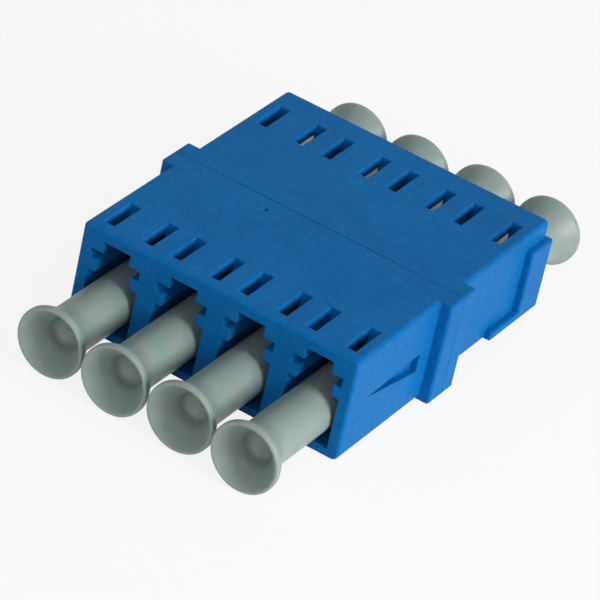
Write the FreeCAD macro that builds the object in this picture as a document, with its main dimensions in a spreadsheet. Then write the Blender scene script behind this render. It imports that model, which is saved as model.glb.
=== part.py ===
import FreeCAD, Part
import Sketcher
import os
import re

# LC quad fibre adapter with its eight dust caps, in millimetres.
# X runs across the four ports, -Y is the front mouth side, +Y the rear mouth side, +Z is up.
# The origin lies under the weld seam between the two housing halves, on the underside.

DRIVING_SIZES = [
    # the box of the housing
    ("body_width", 25.4),
    ("body_height", 9.3),
    ("front_length", 14.1),
    ("rear_length", 15.35),
    ("top_round", 0.4),
    ("front_foot_round", 0.6),
    ("rear_foot_bevel", 1.35),
    ("end_round", 0.25),
    ("seam_bevel", 0.07),
    # the panel flange at mid-length, half of it on each housing half
    ("flange_proud", 1.0),
    ("flange_half_depth", 1.85),
    ("flange_round", 0.25),
    # the ports and the mouths that the plugs enter
    ("port_count", 4),
    ("end_wall", 1.025),
    ("floor_wall", 0.8),
    ("plug_opening", 4.6),
    ("shoulder_height", 1.05),
    ("shoulder_opening", 3.2),
    ("wing_height", 0.85),
    ("keyway_width", 2.45),
    ("keyway_top_wall", 1.0),
    ("mid_wall", 1.8),
    # the two latch windows over each port
    ("window_width", 1.0),
    ("window_length", 3.8),
    ("window_offset", 1.8),
    ("front_catch_wall", 1.1),
    ("rear_catch_wall", 2.65),
    # the tapered clip recess in each side of the front half
    ("recess_depth", 0.6),
    ("recess_length", 7.9),
    ("recess_flange_gap", 1.6),
    ("recess_tip_level", 4.8),
    ("recess_rise", 0.3),
    ("recess_end_height", 1.7),
    # the raised corner rib on each side of the rear half
    ("rib_proud", 0.7),
    ("rib_root", 0.4),
    ("rib_post_width", 3.2),
    ("rib_foot_length", 7.5),
    ("rib_foot_height", 0.7),
    ("rib_top_gap", 1.5),
    ("rib_round", 0.2),
    # the gate mark beside the seam
    ("gate_diameter", 0.5),
    ("gate_depth", 0.15),
    ("gate_across", 3.95),
    ("gate_from_seam", 1.6),
    # the zirconia split sleeves and the holders that trap them
    ("sleeve_length", 6.8),
    ("sleeve_bore", 1.246),
    ("sleeve_wall", 0.185),
    ("sleeve_slit", 0.3),
    ("sleeve_end_bevel", 0.05),
    ("sleeve_side_play", 0.06),
    ("sleeve_end_play", 0.1),
    ("holder_lip", 0.8),
    ("holder_lip_bore", 1.36),
    ("holder_lead_in", 0.25),
    ("holder_wall", 0.58),
    ("holder_flange_rim", 0.75),
    ("holder_flange_depth", 1.2),
    ("holder_fit", 0.05),
    # the dust caps
    ("cap_length", 19.9),
    ("cap_bore_fit", 0.05),
    ("cap_stem_wall", 0.55),
    ("cap_bore_depth", 9.5),
    ("cap_tip_bevel", 0.3),
    ("cap_flare_length", 2.3),
    ("cap_rim_gap", 0.21),
    ("cap_rim_depth", 0.5),
    ("cap_rim_round", 0.22),
    ("cap_neck_round", 3.0),
    ("cap_lip_width", 0.72),
    ("cap_lip_round", 0.45),
    ("cap_dish_floor", 2.0),
    ("cap_dish_depth", 1.9),
    ("cap_dish_round", 1.3),
    # how far each cap stands off the wall that it would bottom on, left to right
    ("front_cap_standoff_1", 0.2),
    ("front_cap_standoff_2", 0.6),
    ("front_cap_standoff_3", 0.8),
    ("front_cap_standoff_4", 1.4),
    ("rear_cap_standoff_1", 1.7),
    ("rear_cap_standoff_2", 1.5),
    ("rear_cap_standoff_3", 1.9),
    ("rear_cap_standoff_4", 2.0),
]

# Sizes that follow from the driving ones, written once as sheet expressions.
PORT_PITCH = "((body_width - 2 * end_wall - plug_opening) / (port_count - 1))"
AXIS_LEVEL = "(floor_wall + plug_opening / 2)"
PLUG_TOP = "(floor_wall + plug_opening)"
WING_BOTTOM = "(floor_wall + plug_opening + shoulder_height)"
WING_TOP = "(floor_wall + plug_opening + shoulder_height + wing_height)"
KEYWAY_TOP = "(body_height - keyway_top_wall)"
SLEEVE_RADIUS = "(sleeve_bore / 2 + sleeve_wall)"
CHAMBER_RADIUS = "(sleeve_bore / 2 + sleeve_wall + sleeve_side_play)"
BOSS_RADIUS = "(sleeve_bore / 2 + sleeve_wall + sleeve_side_play + holder_wall)"
BOSS_LENGTH = "(sleeve_length / 2 + sleeve_end_play + holder_lip)"
SEAT_RADIUS = "(" + BOSS_RADIUS + " + holder_flange_rim)"
CAP_BORE_RADIUS = "(" + BOSS_RADIUS + " + cap_bore_fit)"
CAP_STEM_RADIUS = "(" + BOSS_RADIUS + " + cap_bore_fit + cap_stem_wall)"
CAP_RIM_RADIUS = "((" + PORT_PITCH + " - cap_rim_gap) / 2)"
DISH_MOUTH_RADIUS = "((" + PORT_PITCH + " - cap_rim_gap) / 2 - cap_lip_width)"

doc = FreeCAD.newDocument("lc_quad_adapter")
sheet = doc.addObject("Spreadsheet::Sheet", "Sizes")
for row, (alias, value) in enumerate(DRIVING_SIZES, start=1):
    sheet.set("A%d" % row, alias.replace("_", " "))
    sheet.set("B%d" % row, str(value))
    sheet.setAlias("B%d" % row, alias)
doc.recompute()


def in_sheet(formula):
    """Turn plain size names into references to the sheet's cells."""
    return re.sub(r"[a-z][a-z_0-9]*", lambda word: "Sizes." + word.group(), formula)


def value_of(formula):
    """The number that a formula of size names gives now."""
    return float(sheet.evalExpression(in_sheet(formula)))


def new_body(label):
    body = doc.addObject("PartDesign::Body", label)
    body.Label = label
    return body


def new_sketch(body, name, role, offset="0", across="0", up="0"):
    """A sketch on one of the body's own origin planes, moved by sheet formulas."""
    sketch = body.newObject("Sketcher::SketchObject", body.Label + "_" + name)
    plane = [item for item in body.Origin.OriginFeatures if item.Role == role][0]
    sketch.AttachmentSupport = [(plane, "")]
    sketch.MapMode = "FlatFace"
    sketch.setExpression(".AttachmentOffset.Base.x", in_sheet(across))
    sketch.setExpression(".AttachmentOffset.Base.y", in_sheet(up))
    sketch.setExpression(".AttachmentOffset.Base.z", in_sheet(offset))
    return sketch


def draw_outline(sketch, corners):
    """Draw one closed outline of straight edges and hold each corner by two formulas."""
    points = [FreeCAD.Vector(value_of(x), value_of(y), 0) for x, y in corners]
    first = sketch.GeometryCount
    count = len(points)
    for index in range(count):
        sketch.addGeometry(Part.LineSegment(points[index], points[(index + 1) % count]))
    for index in range(count):
        here = first + index
        after = first + (index + 1) % count
        sketch.addConstraint(Sketcher.Constraint("Coincident", here, 2, after, 1))
    for index, (x, y) in enumerate(corners):
        for kind, number, formula in (("DistanceX", points[index].x, x), ("DistanceY", points[index].y, y)):
            held = sketch.addConstraint(Sketcher.Constraint(kind, -1, 1, first + index, 1, number))
            sketch.setExpression("Constraints[%d]" % held, in_sheet(formula))


def draw_box(sketch, left, right, low, high):
    draw_outline(sketch, [(left, low), (right, low), (right, high), (left, high)])


def draw_circle(sketch, radius):
    """Draw a circle about the sketch's origin, its radius held by a formula."""
    number = value_of(radius)
    circle = sketch.addGeometry(Part.Circle(FreeCAD.Vector(0, 0, 0), FreeCAD.Vector(0, 0, 1), number))
    sketch.addConstraint(Sketcher.Constraint("Coincident", circle, 3, -1, 1))
    held = sketch.addConstraint(Sketcher.Constraint("Radius", circle, number))
    sketch.setExpression("Constraints[%d]" % held, in_sheet(radius))


def pad(body, sketch, length):
    feature = body.newObject("PartDesign::Pad", sketch.Name + "_pad")
    feature.Profile = sketch
    feature.setExpression("Length", in_sheet(length))
    doc.recompute()
    return feature


def pocket(body, sketch, depth, against_normal=True):
    """Cut the sketch into the body and make sure that it took material away."""
    before = body.Shape.Volume
    feature = body.newObject("PartDesign::Pocket", sketch.Name + "_pocket")
    feature.Profile = sketch
    feature.Reversed = not against_normal
    feature.setExpression("Length", in_sheet(depth))
    doc.recompute()
    if body.Shape.Volume >= before:
        raise RuntimeError(feature.Name + " cuts nothing")
    return feature


def round_edges(body, radius, chosen, kind="PartDesign::Fillet"):
    """Round or bevel the edges of the body's last feature that the test picks out."""
    base = body.Tip
    names = ["Edge%d" % (index + 1) for index, edge in enumerate(base.Shape.Edges) if chosen(edge)]
    if not names:
        raise RuntimeError(body.Label + " has no edge to round")
    feature = body.newObject(kind, "%s_edge%d" % (body.Name, len(body.Group)))
    feature.Base = (base, names)
    name = "Radius" if kind == "PartDesign::Fillet" else "Size"
    feature.setExpression(name, in_sheet(radius))
    doc.recompute()
    return feature


def near(one, other):
    return abs(one - other) < 1e-4


def lies_at(edge, axis, level):
    """True where the whole edge lies in the plane axis = level."""
    box = edge.BoundBox
    low = getattr(box, axis + "Min")
    high = getattr(box, axis + "Max")
    return near(low, level) and near(high, level)


def runs_along(edge, axis):
    """True for a straight edge parallel to the axis."""
    box = edge.BoundBox
    across = [getattr(box, other + "Length") for other in "XYZ" if other != axis]
    return max(across) < 1e-4


def origin_feature(body, role):
    return [item for item in body.Origin.OriginFeatures if item.Role == role][0]


def box_of_half(body, length, foot_size, foot_kind):
    """The plain box of one housing half with its long edges and its end edges worked off."""
    section = new_sketch(body, "section", "XZ_Plane")
    draw_box(section, "-body_width / 2", "body_width / 2", "0", "body_height")
    pad(body, section, length)
    top = value_of("body_height")
    round_edges(body, "top_round", lambda edge: runs_along(edge, "Y") and lies_at(edge, "Z", top))
    round_edges(body, foot_size, lambda edge: runs_along(edge, "Y") and lies_at(edge, "Z", 0), foot_kind)
    end = -value_of(length)
    round_edges(body, "end_round", lambda edge: lies_at(edge, "Y", end))


def flange_half(body):
    """The half flange that stops the adapter on its panel, and the bevel of the weld seam."""
    section = new_sketch(body, "flange", "XZ_Plane")
    edge_of_flange = "(body_width / 2 + flange_proud)"
    draw_box(section, "-" + edge_of_flange, edge_of_flange, "0", "body_height")
    pad(body, section, "flange_half_depth")
    side = value_of(edge_of_flange)
    face = -value_of("flange_half_depth")
    round_edges(body, "flange_round", lambda edge: near(abs(edge.CenterOfMass.x), side) and (
        runs_along(edge, "Y") or (runs_along(edge, "Z") and near(edge.CenterOfMass.y, face))))
    round_edges(body, "seam_bevel", lambda edge: lies_at(edge, "Y", 0), "PartDesign::Chamfer")


def port_cuts(body, length, catch_wall):
    """Cut one port with its latch keyway, ledges, windows and sleeve seat, then repeat it."""
    first_port = "(-" + PORT_PITCH + " * (port_count - 1) / 2)"

    mouth = new_sketch(body, "mouth", "XZ_Plane", length, first_port)
    right_side = [
        ("plug_opening / 2", "floor_wall"),
        ("plug_opening / 2", PLUG_TOP),
        ("shoulder_opening / 2", PLUG_TOP),
        ("shoulder_opening / 2", WING_BOTTOM),
        ("plug_opening / 2", WING_BOTTOM),
        ("plug_opening / 2", WING_TOP),
        ("keyway_width / 2", WING_TOP),
        ("keyway_width / 2", KEYWAY_TOP),
    ]
    left_side = [("-" + x, z) for x, z in reversed(right_side)]
    draw_outline(mouth, right_side + left_side)
    cuts = [pocket(body, mouth, length + " - mid_wall")]

    chamber = new_sketch(body, "latch_chamber", "XZ_Plane", length + " - " + catch_wall, first_port)
    draw_box(chamber, "-plug_opening / 2", "plug_opening / 2", WING_BOTTOM, KEYWAY_TOP)
    cuts.append(pocket(body, chamber, "window_length"))

    windows = new_sketch(body, "windows", "XY_Plane", "body_height", first_port)
    near_end = "(" + catch_wall + " - " + length + ")"
    for side in ("-", ""):
        middle = side + "window_offset"
        draw_box(windows, middle + " - window_width / 2", middle + " + window_width / 2",
                 near_end, near_end + " + window_length")
    cuts.append(pocket(body, windows, "body_height - " + WING_TOP))

    seat = new_sketch(body, "holder_seat", "XZ_Plane", "0", first_port, AXIS_LEVEL)
    draw_circle(seat, SEAT_RADIUS + " + holder_fit")
    cuts.append(pocket(body, seat, "holder_flange_depth", against_normal=False))

    boss_hole = new_sketch(body, "boss_hole", "XZ_Plane", "0", first_port, AXIS_LEVEL)
    draw_circle(boss_hole, BOSS_RADIUS + " + holder_fit")
    cuts.append(pocket(body, boss_hole, "mid_wall + holder_flange_depth", against_normal=False))

    ports = body.newObject("PartDesign::LinearPattern", body.Name + "_ports")
    ports.Originals = cuts
    ports.Direction = (origin_feature(body, "X_Axis"), [""])
    ports.setExpression("Length", in_sheet(PORT_PITCH + " * (port_count - 1)"))
    ports.setExpression("Occurrences", in_sheet("port_count"))
    body.Tip = ports
    doc.recompute()


def both_sides(body, features, name):
    """Repeat a side feature on the opposite side of the housing."""
    mirror = body.newObject("PartDesign::Mirrored", body.Name + "_" + name)
    mirror.Originals = features
    mirror.MirrorPlane = (origin_feature(body, "YZ_Plane"), [""])
    body.Tip = mirror
    doc.recompute()


def clip_recess(body):
    """The tapered recess that the panel clip's wing folds into, on both sides."""
    opening = new_sketch(body, "clip_recess", "YZ_Plane", "body_width / 2")
    end = "(-flange_half_depth - recess_flange_gap)"
    tip = "(-flange_half_depth - recess_flange_gap - recess_length)"
    draw_outline(opening, [
        (tip, "recess_tip_level"),
        (end, "recess_tip_level + recess_rise - recess_end_height"),
        (end, "recess_tip_level + recess_rise"),
    ])
    both_sides(body, [pocket(body, opening, "recess_depth")], "clip_recesses")


def corner_rib(body):
    """The raised rib that runs down the rear end and forward above the bevel, on both sides."""
    shape = new_sketch(body, "corner_rib", "YZ_Plane", "body_width / 2 - rib_root")
    end = "-rear_length"
    inner = "(rib_post_width - rear_length)"
    front = "(rib_foot_length - rear_length)"
    foot = "(rear_foot_bevel + rib_foot_height)"
    top = "(body_height - rib_top_gap)"
    draw_outline(shape, [
        (end, "rear_foot_bevel"),
        (front, "rear_foot_bevel"),
        (front, foot),
        (inner, foot),
        (inner, top),
        (end, top),
    ])
    rib = pad(body, shape, "rib_root + rib_proud")
    outer = value_of("body_width / 2 + rib_proud")
    rounding = round_edges(body, "rib_round", lambda edge: lies_at(edge, "X", outer))
    both_sides(body, [rib, rounding], "corner_ribs")


def gate_mark(body):
    """The shallow round mark that the moulding gate leaves on the top face."""
    mark = new_sketch(body, "gate_mark", "XY_Plane", "body_height", "-gate_across", "-gate_from_seam")
    draw_circle(mark, "gate_diameter / 2")
    pocket(body, mark, "gate_depth")


def turn_about_y(body, profile):
    """Revolve a half profile of (radius, length) corners about the body's own Y axis."""
    section = new_sketch(body, "profile", "XY_Plane")
    draw_outline(section, profile)
    revolution = body.newObject("PartDesign::Revolution", body.Name + "_turned")
    revolution.Profile = section
    revolution.ReferenceAxis = (section, ["V_Axis"])
    revolution.Angle = 360
    doc.recompute()
    return revolution


def place_at_port(body, port, stand="0", rear=False):
    """Set a turned piece on the axis of its port, pointing out of the front or the rear."""
    turn = 180 if rear else 0
    body.Placement = FreeCAD.Placement(FreeCAD.Vector(), FreeCAD.Rotation(FreeCAD.Vector(0, 0, 1), turn))
    sign = "" if rear else "-"
    across = PORT_PITCH + " * (%d - (port_count + 1) / 2)" % port
    body.setExpression(".Placement.Base.x", in_sheet(across))
    body.setExpression(".Placement.Base.y", in_sheet(sign + "(" + stand + ")"))
    body.setExpression(".Placement.Base.z", in_sheet(AXIS_LEVEL))


def at_radius(edge, radius, level):
    """True for the circular edge of this radius round the Y axis at this level."""
    curve = edge.Curve
    if not isinstance(curve, Part.Circle):
        return False
    return near(curve.Radius, radius) and near(curve.Center.y, level)


def front_housing():
    body = new_body("front_housing")
    box_of_half(body, "front_length", "front_foot_round", "PartDesign::Fillet")
    flange_half(body)
    port_cuts(body, "front_length", "front_catch_wall")
    clip_recess(body)
    gate_mark(body)
    return body


def rear_housing():
    body = new_body("rear_housing")
    box_of_half(body, "rear_length", "rear_foot_bevel", "PartDesign::Chamfer")
    corner_rib(body)
    flange_half(body)
    port_cuts(body, "rear_length", "rear_catch_wall")
    body.Placement = FreeCAD.Placement(FreeCAD.Vector(), FreeCAD.Rotation(FreeCAD.Vector(0, 0, 1), 180))
    return body


def sleeve_holder(label, port, rear):
    """One half of a sleeve's cage: a flange held by the weld and a boss that the ferrule enters."""
    body = new_body(label)
    lip_radius = "(holder_lip_bore / 2)"
    turn_about_y(body, [
        (CHAMBER_RADIUS, "0"),
        (SEAT_RADIUS, "0"),
        (SEAT_RADIUS, "-holder_flange_depth"),
        (BOSS_RADIUS, "-holder_flange_depth"),
        (BOSS_RADIUS, "-" + BOSS_LENGTH),
        (lip_radius + " + holder_lead_in", "-" + BOSS_LENGTH),
        (lip_radius, "-" + BOSS_LENGTH + " + holder_lead_in"),
        (lip_radius, "holder_lip - " + BOSS_LENGTH),
        (CHAMBER_RADIUS, "holder_lip - " + BOSS_LENGTH),
    ])
    place_at_port(body, port, rear=rear)
    return body


def split_sleeve(label, port):
    """The zirconia tube that lines two ferrules up, slit along its length so that it springs."""
    body = new_body(label)
    inner = "(sleeve_bore / 2)"
    half = "(sleeve_length / 2)"
    turn_about_y(body, [
        (inner + " + sleeve_end_bevel", "-" + half),
        (SLEEVE_RADIUS + " - sleeve_end_bevel", "-" + half),
        (SLEEVE_RADIUS, "sleeve_end_bevel - " + half),
        (SLEEVE_RADIUS, half + " - sleeve_end_bevel"),
        (SLEEVE_RADIUS + " - sleeve_end_bevel", half),
        (inner + " + sleeve_end_bevel", half),
        (inner, half + " - sleeve_end_bevel"),
        (inner, "sleeve_end_bevel - " + half),
    ])
    slit = new_sketch(body, "slit", "XY_Plane", SLEEVE_RADIUS + " + sleeve_wall")
    draw_box(slit, "-sleeve_slit / 2", "sleeve_slit / 2", "-sleeve_length", "sleeve_length")
    pocket(body, slit, SLEEVE_RADIUS + " + sleeve_wall")
    place_at_port(body, port)
    return body


def dust_cap(label, port, standoff, rear):
    """A soft trumpet cap: a bored stem over the sleeve boss and a flared, dished end to pull on."""
    body = new_body(label)
    dish_floor = "(cap_dish_depth - cap_length)"
    flare_start = "(cap_flare_length - cap_length)"
    turn_about_y(body, [
        (CAP_BORE_RADIUS, "0"),
        (CAP_STEM_RADIUS + " - cap_tip_bevel", "0"),
        (CAP_STEM_RADIUS, "-cap_tip_bevel"),
        (CAP_STEM_RADIUS, flare_start),
        (CAP_RIM_RADIUS, "cap_rim_depth - cap_length"),
        (CAP_RIM_RADIUS, "-cap_length"),
        (DISH_MOUTH_RADIUS, "-cap_length"),
        ("cap_dish_floor / 2", dish_floor),
        ("0", dish_floor),
        ("0", "-cap_bore_depth"),
        (CAP_BORE_RADIUS, "-cap_bore_depth"),
    ])
    neck = value_of(CAP_STEM_RADIUS)
    neck_level = value_of(flare_start)
    round_edges(body, "cap_neck_round", lambda edge: at_radius(edge, neck, neck_level))
    rim = value_of(CAP_RIM_RADIUS)
    mouth = value_of(DISH_MOUTH_RADIUS)
    back = value_of("cap_rim_depth - cap_length")
    face = value_of("-cap_length")
    round_edges(body, "cap_rim_round", lambda edge: at_radius(edge, rim, back) or at_radius(edge, rim, face))
    round_edges(body, "cap_lip_round", lambda edge: at_radius(edge, mouth, face))
    floor_radius = value_of("cap_dish_floor / 2")
    floor_level = value_of(dish_floor)
    round_edges(body, "cap_dish_round", lambda edge: at_radius(edge, floor_radius, floor_level))
    place_at_port(body, port, "mid_wall + " + standoff, rear)
    return body


sub_parts = [front_housing(), rear_housing()]
for number in range(1, int(value_of("port_count")) + 1):
    sub_parts.append(split_sleeve("split_sleeve_%d" % number, number))
    for end, is_rear in (("front", False), ("rear", True)):
        sub_parts.append(sleeve_holder("%s_sleeve_holder_%d" % (end, number), number, is_rear))
        standoff_name = "%s_cap_standoff_%d" % (end, number)
        sub_parts.append(dust_cap("%s_cap_%d" % (end, number), number, standoff_name, is_rear))
doc.recompute()

for item in doc.Objects:
    if "Invalid" in item.State or "Error" in item.State:
        raise RuntimeError(item.Name + " did not compute")
for item in sub_parts:
    if item.Shape.isNull() or not item.Shape.isValid() or len(item.Shape.Solids) != 1:
        raise RuntimeError(item.Label + " is not one valid solid")

os.makedirs("parts", exist_ok=True)
for item in sub_parts:
    item.Shape.exportStep("parts/" + item.Label + ".step")
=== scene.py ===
# %% [markdown]
# # A quad fibre adapter and its dust caps
#
# The object is a small coupler from a fibre patch panel: a blue plastic block with
# four square ports at each end, and a soft pale cap plugged into every port. This
# lesson dresses its measured CAD model. The CAD solids load first and stay where they
# are. The two housing halves, the sleeve holders and the ceramic sleeves keep their
# exact shapes and get finishes made of nodes. The caps are soft mouldings, so they are
# turned again here as smoother meshes with the small faults of real soft plastic.

# %% Load the measured model
import bpy
import math
import random
from mathutils import Matrix, Vector


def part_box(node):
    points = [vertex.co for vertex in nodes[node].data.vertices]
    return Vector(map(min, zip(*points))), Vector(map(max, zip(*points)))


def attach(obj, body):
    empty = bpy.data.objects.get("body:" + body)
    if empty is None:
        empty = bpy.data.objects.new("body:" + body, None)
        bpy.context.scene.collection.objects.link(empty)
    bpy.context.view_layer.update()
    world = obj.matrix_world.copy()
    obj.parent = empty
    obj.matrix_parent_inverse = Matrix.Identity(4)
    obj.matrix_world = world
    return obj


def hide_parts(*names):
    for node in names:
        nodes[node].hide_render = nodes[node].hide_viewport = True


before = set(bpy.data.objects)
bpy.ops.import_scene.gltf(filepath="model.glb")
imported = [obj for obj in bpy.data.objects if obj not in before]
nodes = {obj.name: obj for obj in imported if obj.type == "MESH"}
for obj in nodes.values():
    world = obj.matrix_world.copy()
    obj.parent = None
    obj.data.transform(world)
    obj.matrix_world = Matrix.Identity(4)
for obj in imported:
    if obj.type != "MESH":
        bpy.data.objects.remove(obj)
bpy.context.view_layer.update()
MM = 0.001
PORTS = (1, 2, 3, 4)
SIDES = ("front", "rear")

# %% [markdown]
# ## Standing things round the object
#
# The camera and the lamps all look at one point near the middle of the adapter. Each
# could be placed by typing three coordinates and three angles, but then no number says
# what it does. Here a thing is placed as one would say it in a studio: how far round
# from the front, how high, how far away, and how much it is rolled about its own axis.

# %% Look at the adapter
AIM = Vector((-0.39, 0.81, 1.4)) * MM


def stand_round(thing, azimuth, elevation, distance, roll=0.0):
    """Stand a camera or a lamp off from the aim point, in degrees, looking back at it."""
    turn = (
        Matrix.Rotation(math.radians(azimuth), 4, "Z")
        @ Matrix.Rotation(math.radians(90 - elevation), 4, "X")
        @ Matrix.Rotation(math.radians(roll), 4, "Z")
    )
    away = (turn @ Vector((0, 0, 1, 0))).to_3d()
    thing.matrix_world = Matrix.Translation(AIM + away * distance) @ turn
    bpy.context.scene.collection.objects.link(thing)
    print(thing.name, "stands at, mm:", [round(v / MM, 1) for v in thing.matrix_world.translation])


print("the camera and lamps look at, mm:", [round(v / MM, 2) for v in AIM])

# %% [markdown]
# ## The camera
#
# A small object like this is usually shown from above one front corner, with a long
# lens, so that its long edges stay nearly parallel. A short lens close by would be the
# other way, but it makes the near caps look swollen. The camera is rolled a little, so
# that the upright edges lean to the right.

# %% Aim the camera
VIEW_AZIMUTH = 25.4
VIEW_ELEVATION = 32.6
VIEW_ROLL = 13.0
VIEW_DISTANCE = 355.5 * MM
LENS_LENGTH = 268.4
SENSOR_WIDTH = 36.0
NEAREST_SEEN = 10 * MM

camera_data = bpy.data.cameras.new("product_lens")
camera_data.lens = LENS_LENGTH
camera_data.sensor_width = SENSOR_WIDTH
camera_data.clip_start = NEAREST_SEEN
camera = bpy.data.objects.new("product_camera", camera_data)
stand_round(camera, VIEW_AZIMUTH, VIEW_ELEVATION, VIEW_DISTANCE, VIEW_ROLL)
bpy.context.scene.camera = camera
bpy.context.scene.view_settings.view_transform = "Standard"

# %% [markdown]
# ## Writing finishes as sums
#
# A Blender material is a graph of nodes. It can be drawn by hand in the editor or
# written node by node, but a long graph is hard to read both ways. Here a Value is one
# output socket that can stand in an ordinary sum, so that `1 - grain * 0.2` adds the
# Math nodes by itself. Only numbers go through it: a Math node would turn a colour grey.

# %% Values that can be added and multiplied
class Value:
    """An output socket that can be used in sums."""

    def __init__(self, finish, socket):
        self.finish = finish
        self.socket = socket

    def sum_of(self, operation, first, second):
        return self.finish.node("ShaderNodeMath", {"operation": operation}, {0: first, 1: second})

    def __add__(self, other):
        return self.sum_of("ADD", self, other)

    def __radd__(self, other):
        return self.sum_of("ADD", other, self)

    def __sub__(self, other):
        return self.sum_of("SUBTRACT", self, other)

    def __rsub__(self, other):
        return self.sum_of("SUBTRACT", other, self)

    def __mul__(self, other):
        return self.sum_of("MULTIPLY", self, other)

    def __rmul__(self, other):
        return self.sum_of("MULTIPLY", other, self)

    def __abs__(self):
        return self.finish.node("ShaderNodeMath", {"operation": "ABSOLUTE"}, {0: self})


print("a value can be added, subtracted, multiplied and made positive")

# %% [markdown]
# ## One graph for each finish
#
# A Finish is the node graph of one material, or of the room round the object. Its
# method `node` adds any node: its settings go in first and its sockets after them,
# because a setting such as a data type can change which sockets there are. The other
# methods are the few things that every finish here needs: a place on the object, cloudy
# noise, a stretched range and a blend of two colours.

# %% The node graph of one finish
class Finish:
    """The node graph of one material or world."""

    def __init__(self, owner):
        owner.use_nodes = True
        self.owner = owner
        self.tree = owner.node_tree
        self.tree.nodes.clear()

    def node(self, kind, settings, sockets, out=0):
        """Add one node: its settings first, then the values or links of its sockets."""
        made = self.tree.nodes.new(kind)
        for name, setting in settings.items():
            setattr(made, name, setting)
        for name, value in sockets.items():
            socket = self.find(made.inputs, name)
            if isinstance(value, Value):
                self.tree.links.new(value.socket, socket)
            else:
                socket.default_value = value
        if len(made.outputs) == 0:
            return None
        return Value(self, self.find(made.outputs, out))

    @staticmethod
    def find(sockets, name):
        """A socket by its place, its identifier or its label."""
        if isinstance(name, int):
            return sockets[name]
        for socket in sockets:
            if socket.identifier == name:
                return socket
        return sockets[name]

    def place(self):
        """Where a point of the surface lies on the object, in metres."""
        return self.node("ShaderNodeTexCoord", {}, {}, "Object")

    def part(self, vector, axis):
        """One of the three numbers of a vector: X, Y or Z."""
        return self.node("ShaderNodeSeparateXYZ", {}, {0: vector}, axis)

    def noise(self, place, per_mm, detail=2.0, roughness=0.5, distortion=0.0):
        """Cloudy noise from 0 to 1 with this many blotches to the millimetre."""
        return self.node("ShaderNodeTexNoise", {"noise_dimensions": "3D"}, {
            "Vector": place, "Scale": per_mm / MM, "Detail": detail,
            "Roughness": roughness, "Distortion": distortion,
        })

    def between(self, value, low, high, at_low=0.0, at_high=1.0, smooth=False):
        """Stretch the part of a value from low to high over a new range, clamped."""
        kind = "SMOOTHSTEP" if smooth else "LINEAR"
        return self.node("ShaderNodeMapRange", {"interpolation_type": kind, "clamp": True}, {
            "Value": value, "From Min": low, "From Max": high, "To Min": at_low, "To Max": at_high,
        })

    def blend(self, amount, first, second):
        """Mix two colours by an amount from 0 to 1."""
        return self.node("ShaderNodeMix", {"data_type": "RGBA"}, {
            "Factor_Float": amount, "A_Color": first, "B_Color": second,
        }, "Result_Color")

    def seen_directly(self):
        """1 where the camera sees this surface itself or in a mirror or a glass, otherwise 0."""
        seen = self.node("ShaderNodeLightPath", {}, {}, "Is Camera Ray")
        mirrored = self.node("ShaderNodeLightPath", {}, {}, "Is Glossy Ray")
        through = self.node("ShaderNodeLightPath", {}, {}, "Is Transmission Ray")
        return self.between(seen + mirrored + through, 0.0, 1.0)

    def finished(self, surface, output="ShaderNodeOutputMaterial"):
        """Join the surface to the output node and give back the material or the world."""
        self.node(output, {}, {"Surface": surface})
        print(self.owner.name, "has", len(self.tree.nodes), "nodes")
        return self.owner


print("a finish can place, cloud, stretch and blend")

# %% [markdown]
# ## The table
#
# The object stands on a plain white table. One way to a white background is a very
# bright floor, but that would also throw light up at the object. Here the floor's colour
# stays an ordinary white, and only the camera and mirror rays see part of it as glowing,
# so the table reads as white and still holds a soft shadow.

# %% Make the table
TABLE_SIZE = 6.0
TABLE_GAP = 0.02 * MM
TABLE_GLOW = 0.85
WHITE = (1, 1, 1, 1)
PAPER_GREY = (0.88, 0.88, 0.88, 1)
PAPER_WHITE = (0.92, 0.92, 0.92, 1)


def table_finish():
    finish = Finish(bpy.data.materials.new("white_table"))
    grain = finish.noise(finish.place(), per_mm=0.8, detail=4.0)
    matt = finish.node("ShaderNodeBsdfPrincipled", {}, {
        "Base Color": finish.blend(grain, PAPER_GREY, PAPER_WHITE),
        "Roughness": 0.85, "Specular IOR Level": 0.2,
    })
    glow = finish.node("ShaderNodeEmission", {}, {"Color": WHITE, "Strength": 1.0})
    looks = finish.seen_directly() * TABLE_GLOW
    return finish.finished(finish.node("ShaderNodeMixShader", {}, {0: looks, 1: matt, 2: glow}))


bpy.ops.mesh.primitive_plane_add(size=TABLE_SIZE, location=(0, 0, -TABLE_GAP))
table = bpy.context.object
table.name = "studio_table"
table.data.materials.append(table_finish())

# %% [markdown]
# ## The room
#
# Light also comes from every side of a real room, off its walls and ceiling. A picture
# of a studio wrapped round the scene would do that, but a plain even light is enough
# for an object without mirrors, and it keeps the colours as they are written. The room
# is dim, and the camera and mirror rays see it as plain white.

# %% Make the room
ROOM_LIGHT = 0.27


def soft_room():
    room = Finish(bpy.data.worlds.new("soft_room"))
    sky = room.node("ShaderNodeBackground", {}, {"Color": WHITE, "Strength": ROOM_LIGHT})
    backdrop = room.node("ShaderNodeBackground", {}, {"Color": WHITE, "Strength": 1.0})
    air = room.node("ShaderNodeMixShader", {}, {0: room.seen_directly(), 1: sky, 2: backdrop})
    return room.finished(air, "ShaderNodeOutputWorld")


bpy.context.scene.world = soft_room()

# %% [markdown]
# ## The lamps
#
# The light is brightest from the object's right, which makes the right side the
# lightest face, the top the next and the port end the darkest. Small bare lamps would
# draw hard shadows between the caps, so each lamp is a wide square soft box. The one on
# the right is the key light, and the other two only open up the top and the front.

# %% Hang the lamps
def soft_lamp(name, azimuth, elevation, distance, size, watts):
    """A square soft box that looks at the object from the given direction."""
    data = bpy.data.lights.new(name, "AREA")
    data.shape = "SQUARE"
    data.size = size
    data.energy = watts
    stand_round(bpy.data.objects.new(name, data), azimuth, elevation, distance)


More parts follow.
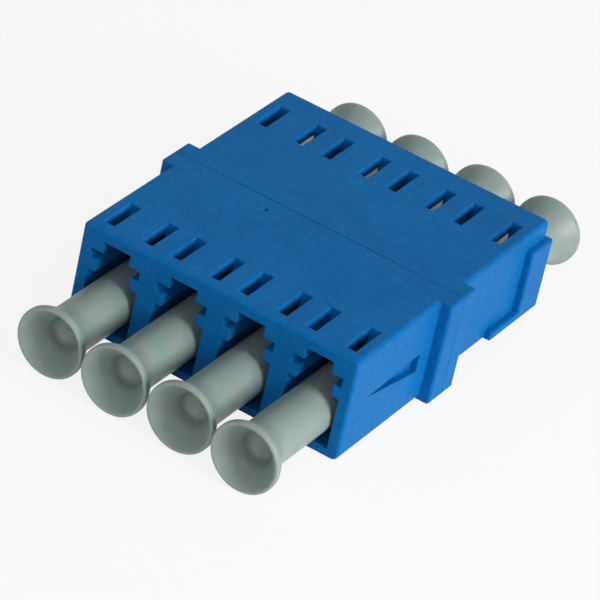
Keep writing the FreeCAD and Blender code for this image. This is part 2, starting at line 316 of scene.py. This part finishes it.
soft_lamp("right_soft_box", azimuth=84, elevation=23, distance=0.5, size=0.22, watts=2.4)
soft_lamp("top_soft_box", azimuth=10, elevation=80, distance=0.6, size=0.4, watts=0.12)
soft_lamp("front_soft_box", azimuth=10, elevation=25, distance=0.7, size=0.5, watts=1.2)

# %% [markdown]
# ## Marks of the mould
#
# The housing is injection moulded, and the melt enters through a small gate on its top.
# As the melt spreads it leaves faint ripples round the gate. A picture of rings could be
# laid on, but a sine of the distance from the gate gives them at any size, and a little
# noise in the distance keeps them from being perfect circles.

# %% Ripples round the gate
GATE_SPOT = Vector((-3.95, -1.6, 9.3)) * MM
RIPPLE_PITCH = 5.2 / MM
RIPPLE_WANDER = 9.0
RIPPLES_START = 0.4 * MM
RIPPLES_END = 6.5 * MM


def gate_ripples(finish, place, drift):
    """Rings from -1 to 1 round the gate, which die out with distance."""
    from_gate = finish.node("ShaderNodeVectorMath", {"operation": "DISTANCE"}, {
        0: place, 1: tuple(GATE_SPOT),
    }, "Value")
    rings = finish.node("ShaderNodeMath", {"operation": "SINE"}, {
        0: from_gate * RIPPLE_PITCH + drift * RIPPLE_WANDER,
    })
    return rings * finish.between(from_gate, RIPPLES_START, RIPPLES_END, 1.0, 0.0, smooth=True)


print("the gate is at, mm:", [round(v / MM, 2) for v in GATE_SPOT])

# %% [markdown]
# ## Worn edges and painted highlight
#
# Fingers and the panel's edge polish the corners of the housing, which grow smoother.
# The edges are also painted paler, partly as that wear and partly as a painted highlight.
# Painting them by hand would be lost with the next change of the model. The Bevel node
# rounds the shading normal near an edge only, so the difference between that normal and
# the true one is a mask of the edges. A noise breaks it into patches.

# %% Mask of the worn and highlit edges
EDGE_ROUND = 0.16 * MM
FLAT_AGREEMENT = 0.995
EDGE_AGREEMENT = 0.80


def worn_and_highlit_edges(finish, soft_normal, true_normal, mottle):
    """Up to 1 on the edges, in patches, and 0 on the flat faces: wear and painted highlight."""
    agreement = finish.node("ShaderNodeVectorMath", {"operation": "DOT_PRODUCT"}, {
        0: soft_normal, 1: true_normal,
    }, "Value")
    edge = finish.between(agreement, FLAT_AGREEMENT, EDGE_AGREEMENT)
    return edge * finish.between(mottle, 0.35, 0.65, 0.25, 1.0)


print("edges count as rubbed within, mm:", round(EDGE_ROUND / MM, 2))

# %% [markdown]
# ## Painted shade in the weld seam
#
# The two halves are welded at mid-length, and the fine groove between them is darkened
# with painted shade. The mask is a thin band round that middle plane, only on surfaces
# that look upwards, and it thins out towards the sides. It could be a strip of
# geometry, but a mask has no thickness and follows the groove exactly.

# %% Mask of the seam's painted shade
SEAM_CORE = 0.05 * MM
SEAM_REACH = 0.20 * MM
DARK_HALF_WIDTH = 7.0 * MM
FADED_HALF_WIDTH = 12.0 * MM


def seam_painted_shade(finish, place, true_normal, mottle):
    """Painted shade, up to 1 in the groove across the top, thinner towards both sides."""
    from_seam = abs(finish.part(place, "Y"))
    from_middle = abs(finish.part(place, "X"))
    return (
        finish.between(from_seam, SEAM_CORE, SEAM_REACH, 1.0, 0.0)
        * finish.between(from_middle, DARK_HALF_WIDTH, FADED_HALF_WIDTH, 1.0, 0.25)
        * finish.between(finish.part(true_normal, "Z"), 0.5, 0.7)
        * finish.between(mottle, 0.3, 0.6, 0.5, 1.0)
    )


print("the seam's dirt reaches, mm:", round(SEAM_REACH / MM, 2))

# %% [markdown]
# ## Blue moulded plastic
#
# The housing is a filled polyester in signal blue, with a fine satin surface from the
# eroded steel of the mould. A flat blue would look like paint. The real surface drifts a
# little in tone where the plastic flowed, is mottled by its filler and has a grain of
# about a tenth of a millimetre. Four noises of growing fineness give these, the three
# masks go on top, and together they move the colour, the roughness and a small bump.

# %% The housing finish
BLUE_DEEP = (0.001, 0.124, 0.375, 1)
BLUE_OPEN = (0.002, 0.156, 0.435, 1)
BLUE_SHADE = (0.003, 0.095, 0.325, 1)
# Paler blue for random pale patches, and for the edges: wear and a painted highlight.
BLUE_PALE_AND_HIGHLIGHT = (0.022, 0.22, 0.54, 1)
# Painted shade for the seam groove.
BLUE_SEAM_SHADE = (0.003, 0.05, 0.17, 1)


def housing_finish():
    finish = Finish(bpy.data.materials.new("signal_blue_plastic"))
    place = finish.place()
    drift = finish.noise(place, per_mm=0.16, detail=3.0, roughness=0.55, distortion=0.6)
    mottle = finish.noise(place, per_mm=1.1, detail=3.0, roughness=0.6)
    fleck = finish.noise(place, per_mm=3.2, detail=2.0, roughness=0.6)
    grain = finish.noise(place, per_mm=7.0, detail=2.0, roughness=0.6)
    soft_normal = finish.node("ShaderNodeBevel", {"samples": 6}, {"Radius": EDGE_ROUND})
    true_normal = finish.node("ShaderNodeNewGeometry", {}, {}, "Normal")
    ripples = gate_ripples(finish, place, drift)
    worn_and_highlit = worn_and_highlit_edges(finish, soft_normal, true_normal, mottle)
    painted_shade = seam_painted_shade(finish, place, true_normal, mottle)

    flow = finish.between(drift, 0.3, 0.7)
    pale_patches = finish.between(mottle, 0.42, 0.75) * 0.26
    dark_flecks = finish.between(fleck, 0.35, 0.65) * 0.55
    body = finish.blend(flow, BLUE_DEEP, BLUE_OPEN)
    body = finish.blend(pale_patches, body, BLUE_PALE_AND_HIGHLIGHT)
    body = finish.blend(dark_flecks, body, BLUE_SHADE)
    body = finish.blend(ripples * 0.05 + 0.05, body, BLUE_OPEN)
    # Paler edges: partly wear, partly a painted highlight along them.
    body = finish.blend(worn_and_highlit * 0.5, body, BLUE_PALE_AND_HIGHLIGHT)
    # Painted shade darkens the seam groove on the top.
    body = finish.blend(painted_shade * 0.5, body, BLUE_SEAM_SHADE)

    dullness = 0.47 + (grain - 0.5) * 0.18 + (mottle - 0.5) * 0.12 - worn_and_highlit * 0.10
    relief = finish.node("ShaderNodeBump", {}, {
        "Height": grain * 0.5 + fleck * 0.7 + mottle * 0.6 + ripples * 0.15,
        "Strength": 0.35, "Distance": 0.03 * MM, "Normal": soft_normal,
    })
    return finish.finished(finish.node("ShaderNodeBsdfPrincipled", {}, {
        "Base Color": body, "Roughness": dullness, "Normal": relief,
        "IOR": 1.5, "Specular IOR Level": 0.06,
    }))


blue_plastic = housing_finish()

# %% [markdown]
# ## Putting a finish on a solid
#
# A CAD solid arrives with its own plain material. Its mesh could be given the new one,
# but the mesh belongs to the measured model and isn't touched. A material slot can also
# be filled on the object instead of on its mesh, and that is what is done here.

# %% Dress the housing
def dress(node_name, material):
    """Give every material slot of a CAD node this finish."""
    slots = nodes[node_name].material_slots
    for slot in slots:
        slot.link = "OBJECT"
        slot.material = material
    if not slots:
        nodes[node_name].data.materials.append(material)


for side in SIDES:
    half = side + "_housing"
    dress(half, blue_plastic)
    print(half, "has", len(nodes[half].data.polygons), "faces")

# %% [markdown]
# ## Soft cap plastic
#
# The dust caps are low-density polyethylene without much pigment. It is a pale grey
# green, lets a little light in under its skin, and has a waxy, slightly uneven surface.
# Light that enters and leaves again is what makes a lit cap look soft. A lighter colour
# could stand in for it, but subsurface scattering also softens the edge of each shadow.
# Two noises drift the colour from greenish to pinkish and lay thin dust in patches, and
# painted shade darkens the funnel of the flared end, more the deeper it goes: each point
# of the mesh knows its own depth.

# %% The cap finish
CAP_GREEN = (0.215, 0.315, 0.295, 1)
CAP_PINK = (0.275, 0.31, 0.28, 1)
# Dust colour, also used as painted shade deep in the funnel.
CAP_DUST_AND_SHADE = (0.17, 0.175, 0.12, 1)
IN_FUNNEL = "in_funnel"


def cap_finish():
    finish = Finish(bpy.data.materials.new("natural_polyethylene"))
    place = finish.place()
    cloud = finish.noise(place, per_mm=0.55, detail=4.0, roughness=0.6, distortion=0.4)
    mottle = finish.noise(place, per_mm=1.3, detail=4.0, roughness=0.6)
    skin = finish.noise(place, per_mm=5.0)
    in_funnel = finish.node("ShaderNodeAttribute", {"attribute_name": IN_FUNNEL}, {}, "Fac")
    thin_dust = finish.between(mottle, 0.55, 0.85) * 0.35
    # Painted shade: darker the deeper a point lies in the funnel.
    painted_funnel_shade = in_funnel * finish.between(mottle, 0.2, 0.7, 0.15, 0.5)
    dust_and_shade = finish.between(thin_dust + painted_funnel_shade, 0.0, 1.0)
    tint = finish.between(cloud, 0.35, 0.65)
    body = finish.blend(dust_and_shade, finish.blend(tint, CAP_GREEN, CAP_PINK), CAP_DUST_AND_SHADE)
    relief = finish.node("ShaderNodeBump", {}, {
        "Height": skin * 0.5 + mottle, "Strength": 0.25, "Distance": 0.05 * MM,
    })
    return finish.finished(finish.node("ShaderNodeBsdfPrincipled", {"subsurface_method": "RANDOM_WALK"}, {
        "Base Color": body, "Roughness": 0.46 + (mottle - 0.5) * 0.2, "Normal": relief,
        "Subsurface Weight": 0.3, "Subsurface Radius": (1.0, 0.95, 0.75), "Subsurface Scale": 0.9 * MM,
        "IOR": 1.51, "Specular IOR Level": 0.45,
    }))


cap_plastic = cap_finish()

# %% [markdown]
# ## The outline of a dust cap
#
# Each cap is a round moulding: a bored stem that grips the sleeve boss inside the port,
# a long barrel, and a flared end that opens into a funnel with a thin lip and a narrower
# pit at its middle. It could be a cylinder pushed into shape, but half of its outline,
# swept round the axis, keeps the measured radii. The outline is a list of corners, and
# each corner is softened by a short curve, because soft plastic has no sharp ones.

# %% Soften the corners of an outline
CURVE_STEPS = 7


def softened(corners):
    """Round each (radius, length, rounding) corner of an outline with a short curve."""
    points = []
    for index, (radius, along, rounding) in enumerate(corners):
        here = Vector((radius, along))
        if rounding == 0:
            points.append(here)
            continue
        before = Vector(corners[index - 1][:2])
        after = Vector(corners[index + 1][:2])
        to_before = (before - here).normalized()
        to_after = (after - here).normalized()
        half_angle = to_before.angle(to_after) / 2
        run = min(rounding / math.tan(half_angle), (before - here).length, (after - here).length)
        start = here + to_before * run
        end = here + to_after * run
        for step in range(CURVE_STEPS + 1):
            t = step / CURVE_STEPS
            points.append(start * (1 - t) ** 2 + here * 2 * t * (1 - t) + end * t ** 2)
    return points


print("each soft corner is a curve of", CURVE_STEPS, "steps")

# %% [markdown]
# ## The sizes of a dust cap
#
# The radii and lengths are those of the measured model. They could be read off the CAD
# cap's mesh, but a named size says what it is. The lip and the funnel are finer here:
# the wall thins to the lip, and the pit follows the barrel inwards, as it does in a
# moulding of even thickness. Lengths run from the tip of the stem outwards.

# %% Draw the outline
CAP_LENGTH = 19.9 * MM
BORE_RADIUS = 1.498 * MM
BORE_DEPTH = 9.5 * MM
STEM_WALL = 0.55 * MM
STEM_RADIUS = BORE_RADIUS + STEM_WALL
FLARE_LENGTH = 2.3 * MM
RIM_RADIUS = 3.02 * MM
RIM_DEPTH = 0.5 * MM
LIP_WIDTH = 0.24 * MM
SLOPE_DEPTH = 1.8 * MM
PIT_RADIUS = 1.4 * MM
PIT_FLOOR = 1.2 * MM
PIT_DEPTH = 2.6 * MM
FUNNEL_DEPTH = 3.1 * MM

outline = softened([
    (0, BORE_DEPTH, 0),
    (BORE_RADIUS, BORE_DEPTH, 0.2 * MM),
    (BORE_RADIUS, 0, 0),
    (STEM_RADIUS, 0, 0.3 * MM),
    (STEM_RADIUS, CAP_LENGTH - FLARE_LENGTH, 3.0 * MM),
    (RIM_RADIUS, CAP_LENGTH - RIM_DEPTH, 0.22 * MM),
    (RIM_RADIUS, CAP_LENGTH, 0.16 * MM),
    (RIM_RADIUS - LIP_WIDTH, CAP_LENGTH, 0.12 * MM),
    (PIT_RADIUS, CAP_LENGTH - SLOPE_DEPTH, 1.8 * MM),
    (PIT_FLOOR, CAP_LENGTH - PIT_DEPTH, 0.8 * MM),
    (0, CAP_LENGTH - FUNNEL_DEPTH, 0),
])
lip_point = max(range(len(outline)), key=lambda index: outline[index].y)
print("the cap's outline has", len(outline), "points")

# %% [markdown]
# ## The faults of soft plastic
#
# A soft moulding is never quite round. The flared end settles into a hair of an oval
# while it cools, and where the two halves of the mould met, a faint parting line runs
# down two sides. Eight perfect copies would look like drawings, so each cap draws its
# own faults from its own seed, and they come out the same each time.

# %% Points of one ring
AROUND = 96
PARTING_LINE = 0.012 * MM
PARTING_SHARPNESS = 60
OUTSIDE_SLACK = 0.01 * MM


def soft_faults(seed):
    """How oval one rim is, which way the oval lies, and where its parting line runs."""
    chance = random.Random(seed)
    oval = chance.uniform(0.004, 0.012)
    oval_turn = chance.uniform(0, math.pi)
    parting = chance.uniform(0, math.pi)
    return oval, oval_turn, parting


def ring_of(radius, along, faults):
    """The points of one ring, as steps sideways and upwards from the cap's axis."""
    oval, oval_turn, parting = faults
    towards_rim = max(0.0, (along - CAP_LENGTH + FLARE_LENGTH) / FLARE_LENGTH)
    points = []
    for step in range(AROUND):
        angle = 2 * math.pi * step / AROUND
        reach = radius * (1 - oval * towards_rim * (1 + math.cos(2 * (angle - oval_turn))) / 2)
        if radius >= STEM_RADIUS - OUTSIDE_SLACK:
            reach -= PARTING_LINE * (1 - abs(math.cos(angle - parting)) ** PARTING_SHARPNESS)
        points.append((reach * math.cos(angle), reach * math.sin(angle)))
    return points


print("each ring has", AROUND, "points")

# %% [markdown]
# ## Sweeping the outline round
#
# The Spin tool or a Screw modifier would sweep the outline too. Writing the rings and
# faces out is hardly longer, lets each ring carry its faults, and lets each point keep
# how deep in the funnel it lies. The two ends of the outline lie on the axis, so the
# first and the last ring close in a fan of triangles.

# %% Faces between the rings
def cap_faces(rings):
    """The faces that join neighbouring rings, and a fan at each end of the axis."""
    faces = []
    last = 1 + (rings - 1) * AROUND
    for step in range(AROUND):
        after = (step + 1) % AROUND
        faces.append((0, 1 + step, 1 + after))
        for ring in range(rings - 1):
            one = 1 + ring * AROUND
            two = one + AROUND
            faces.append((one + step, two + step, two + after, one + after))
        faces.append((last + step, last + AROUND, last + after))
    return faces


swept_faces = cap_faces(len(outline) - 2)
print("each cap has", len(swept_faces), "faces")

# %% [markdown]
# ## Turning a cap
#
# Every cap has the same length, and the CAD cap says where its axis and its tip are.
# The mesh could be made once and moved eight times, but then all caps would share one
# set of faults. A rear cap points the other way, which turns its faces inside out, so
# its normals are flipped back.

# %% Turn one cap
def turned_cap(name, node_name, seed):
    """Sweep the outline round the axis of the CAD cap, with the faults of soft plastic."""
    faults = soft_faults(seed)
    low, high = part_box(node_name)
    middle = (low + high) / 2
    forward = -1 if middle.y < 0 else 1
    tip = high.y if forward < 0 else low.y
    vertices = []
    in_funnel = []
    for index, (radius, along) in enumerate(outline):
        depth = (CAP_LENGTH - along) / FUNNEL_DEPTH if index > lip_point else 0.0
        ring = [(0, 0)] if radius == 0 else ring_of(radius, along, faults)
        in_funnel.extend([depth] * len(ring))
        for sideways, upwards in ring:
            vertices.append((middle.x + sideways, tip + forward * along, middle.z + upwards))
    mesh = bpy.data.meshes.new(name)
    mesh.from_pydata(vertices, [], swept_faces)
    if forward > 0:
        mesh.flip_normals()
    mesh.update()
    mesh.attributes.new(IN_FUNNEL, "FLOAT", "POINT").data.foreach_set("value", in_funnel)
    mesh.polygons.foreach_set("use_smooth", [True] * len(mesh.polygons))
    mesh.materials.append(cap_plastic)
    cap = bpy.data.objects.new(name, mesh)
    bpy.context.scene.collection.objects.link(cap)
    return cap


print("a cap is turned as long as the CAD cap, mm:", round(CAP_LENGTH / MM, 2))

# %% [markdown]
# ## Eight caps in their ports
#
# Each turned cap takes the place of one CAD cap. It rides on the body of that cap, so
# it slides out of its port with it. The rear caps take other seeds than the front
# ones, so that no two caps have the same faults.

# %% Turn all the caps
REAR_SEEDS = 10

for side in SIDES:
    first_seed = REAR_SEEDS if side == "rear" else 0
    for port in PORTS:
        node_name = "%s_cap_%d" % (side, port)
        cap = turned_cap("%s_soft_cap_%d" % (side, port), node_name, first_seed + port)
        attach(cap, node_name)
        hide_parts(node_name)
    print(side, "caps turned:", len(PORTS))

# %% [markdown]
# ## Sleeve holders
#
# Deep in each port a natural coloured boss holds the tube that lines up two fibres. It
# shows only when a cap is pulled. Unfilled plastic of this kind is slightly yellow and a
# little cloudy. A plain cream colour would nearly do so deep in a port, but one noise
# for the clouds and one for the grain cost little and keep it from looking like paper.

# %% The holder finish
HOLDER_CREAM = (0.60, 0.58, 0.50, 1)
HOLDER_PALE = (0.68, 0.67, 0.60, 1)


def holder_finish():
    finish = Finish(bpy.data.materials.new("natural_polyester"))
    place = finish.place()
    cloud = finish.noise(place, per_mm=0.5, detail=3.0)
    grain = finish.noise(place, per_mm=8.0)
    relief = finish.node("ShaderNodeBump", {}, {
        "Height": grain, "Strength": 0.2, "Distance": 0.02 * MM,
    })
    return finish.finished(finish.node("ShaderNodeBsdfPrincipled", {}, {
        "Base Color": finish.blend(finish.between(cloud, 0.3, 0.7), HOLDER_CREAM, HOLDER_PALE),
        "Roughness": 0.42 + (grain - 0.5) * 0.2, "Normal": relief, "Specular IOR Level": 0.4,
    }))


natural_plastic = holder_finish()
for side in SIDES:
    for port in PORTS:
        dress("%s_sleeve_holder_%d" % (side, port), natural_plastic)
print("sleeve holders dressed:", len(SIDES) * len(PORTS))

# %% [markdown]
# ## Ceramic sleeves
#
# The tube itself is zirconia, ground and slit along one side. It is hard, white and
# glossy, with the fine lengthwise lines that grinding leaves. The lines could be cut
# into the mesh, but they are far finer than its faces, so a noise stretched along the
# tube moves the roughness and a very small bump instead.

# %% The ceramic finish
CERAMIC_CREAM = (0.82, 0.81, 0.76, 1)
CERAMIC_WHITE = (0.88, 0.88, 0.85, 1)
LENGTHWISE = (9.0, 0.15, 9.0)


def ceramic_finish():
    finish = Finish(bpy.data.materials.new("ground_zirconia"))
    place = finish.place()
    stretched = finish.node("ShaderNodeMapping", {}, {"Vector": place, "Scale": LENGTHWISE})
    grinding = finish.noise(stretched, per_mm=2.0, detail=3.0)
    cloud = finish.noise(place, per_mm=0.7)
    relief = finish.node("ShaderNodeBump", {}, {
        "Height": grinding, "Strength": 0.1, "Distance": 0.01 * MM,
    })
    return finish.finished(finish.node("ShaderNodeBsdfPrincipled", {}, {
        "Base Color": finish.blend(cloud, CERAMIC_CREAM, CERAMIC_WHITE),
        "Roughness": 0.12 + grinding * 0.12, "Normal": relief, "IOR": 2.1,
    }))


ceramic = ceramic_finish()
for port in PORTS:
    dress("split_sleeve_%d" % port, ceramic)
print("split sleeves dressed:", len(PORTS))
